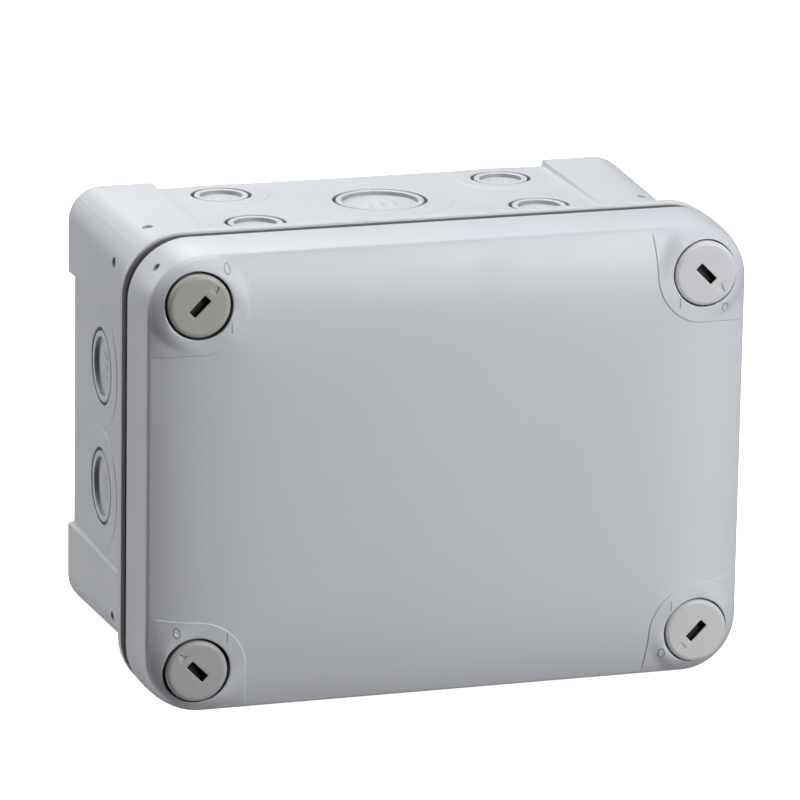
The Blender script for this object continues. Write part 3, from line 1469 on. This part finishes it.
def dress(piece, material, bevel):
    """Gives a CAD piece its material and small rounded edges."""
    piece.data.materials.clear()
    piece.data.materials.append(material)
    weld = piece.modifiers.new("Weld", "WELD")
    weld.merge_threshold = 0.00001
    rounding = piece.modifiers.new("Rounding", "BEVEL")
    rounding.width = bevel
    rounding.segments = 2
    rounding.limit_method = "ANGLE"
    rounding.angle_limit = math.radians(32)
    rounding.harden_normals = False
    normals = piece.modifiers.new("Normals", "WEIGHTED_NORMAL")
    normals.keep_sharp = True


for node_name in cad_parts:
    fitting = [finish for finish in FINISHES if node_name.startswith(finish[0])]
    if fitting:
        dress(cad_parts[node_name], paint[fitting[0][1]], fitting[0][2])


# ---------------------------------------------------------------- floor, light and camera
BOX_MIDDLE = Vector((0.0, -0.06, 0.0))
LAMP_DISTANCE = 1.2
AMBIENT = 0.03
FLOOR_FLAT = 5.0
FLOOR_SWEEP = 3.0
FLOOR_GLOW = 0.95
FLOOR_STEPS = 64
# Azimuth, elevation, power and size; azimuth 0 is in front of the cover and 90 at its right.
LAMPS = {
    "key": (26, 23, 9.8, 0.6),
    "front_low": (42, -20, 2.9, 0.6),
    "top": (180, 86, 9.2, 0.8),
    "left_high": (234, 25, 5.6, 0.6),
    "left_middle": (234, -20, 2.1, 0.6),
    "left_low": (234, -50, 3.7, 0.6),
    "back": (180, 45, 4.6, 0.6),
}
# The camera that was fitted to the photo.
CAMERA_LENS = 292.7
CAMERA_PLACE = (-0.69528, -2.22619, 0.64546)
CAMERA_RIGHT = (0.95313, -0.30213, 0.01582)
CAMERA_FORWARD = (0.29503, 0.91659, -0.26987)


def lamp(name, azimuth, elevation, power, size):
    """Square soft box aimed at the box."""
    turn = math.radians(azimuth)
    rise = math.radians(elevation)
    way = Vector((math.sin(turn) * math.cos(rise), -math.cos(turn) * math.cos(rise), math.sin(rise)))
    light = bpy.data.lights.new(name, "AREA")
    light.shape = "RECTANGLE"
    light.size = size
    light.size_y = size
    light.energy = power
    piece = new_piece(name, light)
    piece.location = BOX_MIDDLE + way * LAMP_DISTANCE
    piece.rotation_euler = (-way).to_track_quat("-Z", "Y").to_euler()
    piece.visible_camera = False


def floor_paint():
    """Nearly white paint that glows evenly."""
    material, _, shader = shader_nodes("floor_paint")
    shader.inputs["Base Color"].default_value = (0.9, 0.9, 0.9, 1.0)
    shader.inputs["Roughness"].default_value = 0.9
    shader.inputs["Specular IOR Level"].default_value = 0.0
    shader.inputs["Emission Color"].default_value = (1.0, 1.0, 1.0, 1.0)
    shader.inputs["Emission Strength"].default_value = FLOOR_GLOW
    return material


def make_floor():
    """Pale floor that curves up far from the box; it casts nothing on the box."""
    low = cad_box[0][2]
    profile = [(FLOOR_FLAT * i / 4, low) for i in range(1, 5)]
    for i in range(1, 13):
        angle = math.pi / 2 * i / 12
        rise = low + FLOOR_SWEEP * (1 - math.cos(angle))
        profile.append((FLOOR_FLAT + FLOOR_SWEEP * math.sin(angle), rise))
    rows = []
    for radius, z in profile:
        rows.append([(x, y, z) for x, y in circle_points(0.0, 0.0, radius, FLOOR_STEPS)])
    sheet = Shell()
    sheet.rows(rows)
    sheet.fan(rows[0])
    mesh = bpy.data.meshes.new("floor")
    mesh.from_pydata(sheet.points, [], sheet.faces)
    mesh.shade_smooth()
    mesh.materials.append(floor_paint())
    floor = new_piece("floor", mesh)
    floor.visible_diffuse = False
    floor.visible_glossy = False
    floor.visible_shadow = False


def make_world():
    """Weak even surround; the lamps give the form."""
    world = bpy.data.worlds.new("studio")
    bpy.context.scene.world = world
    world.use_nodes = True
    background = world.node_tree.nodes["Background"]
    background.inputs["Color"].default_value = (0.98, 0.99, 1.0, 1.0)
    background.inputs["Strength"].default_value = AMBIENT


def make_camera():
    camera_data = bpy.data.cameras.new("camera")
    camera_data.lens = CAMERA_LENS
    camera_data.sensor_width = 36.0
    camera = new_piece("camera", camera_data)
    right = Vector(CAMERA_RIGHT).normalized()
    forward = Vector(CAMERA_FORWARD).normalized()
    up = right.cross(forward).normalized()
    right = forward.cross(up).normalized()
    matrix = Matrix((right, up, -forward)).transposed().to_4x4()
    matrix.translation = Vector(CAMERA_PLACE)
    camera.matrix_world = matrix
    bpy.context.scene.camera = camera


make_floor()
make_world()
for lamp_name, values in LAMPS.items():
    lamp(lamp_name, *values)
make_camera()
bpy.context.scene.view_settings.view_transform = "Standard"
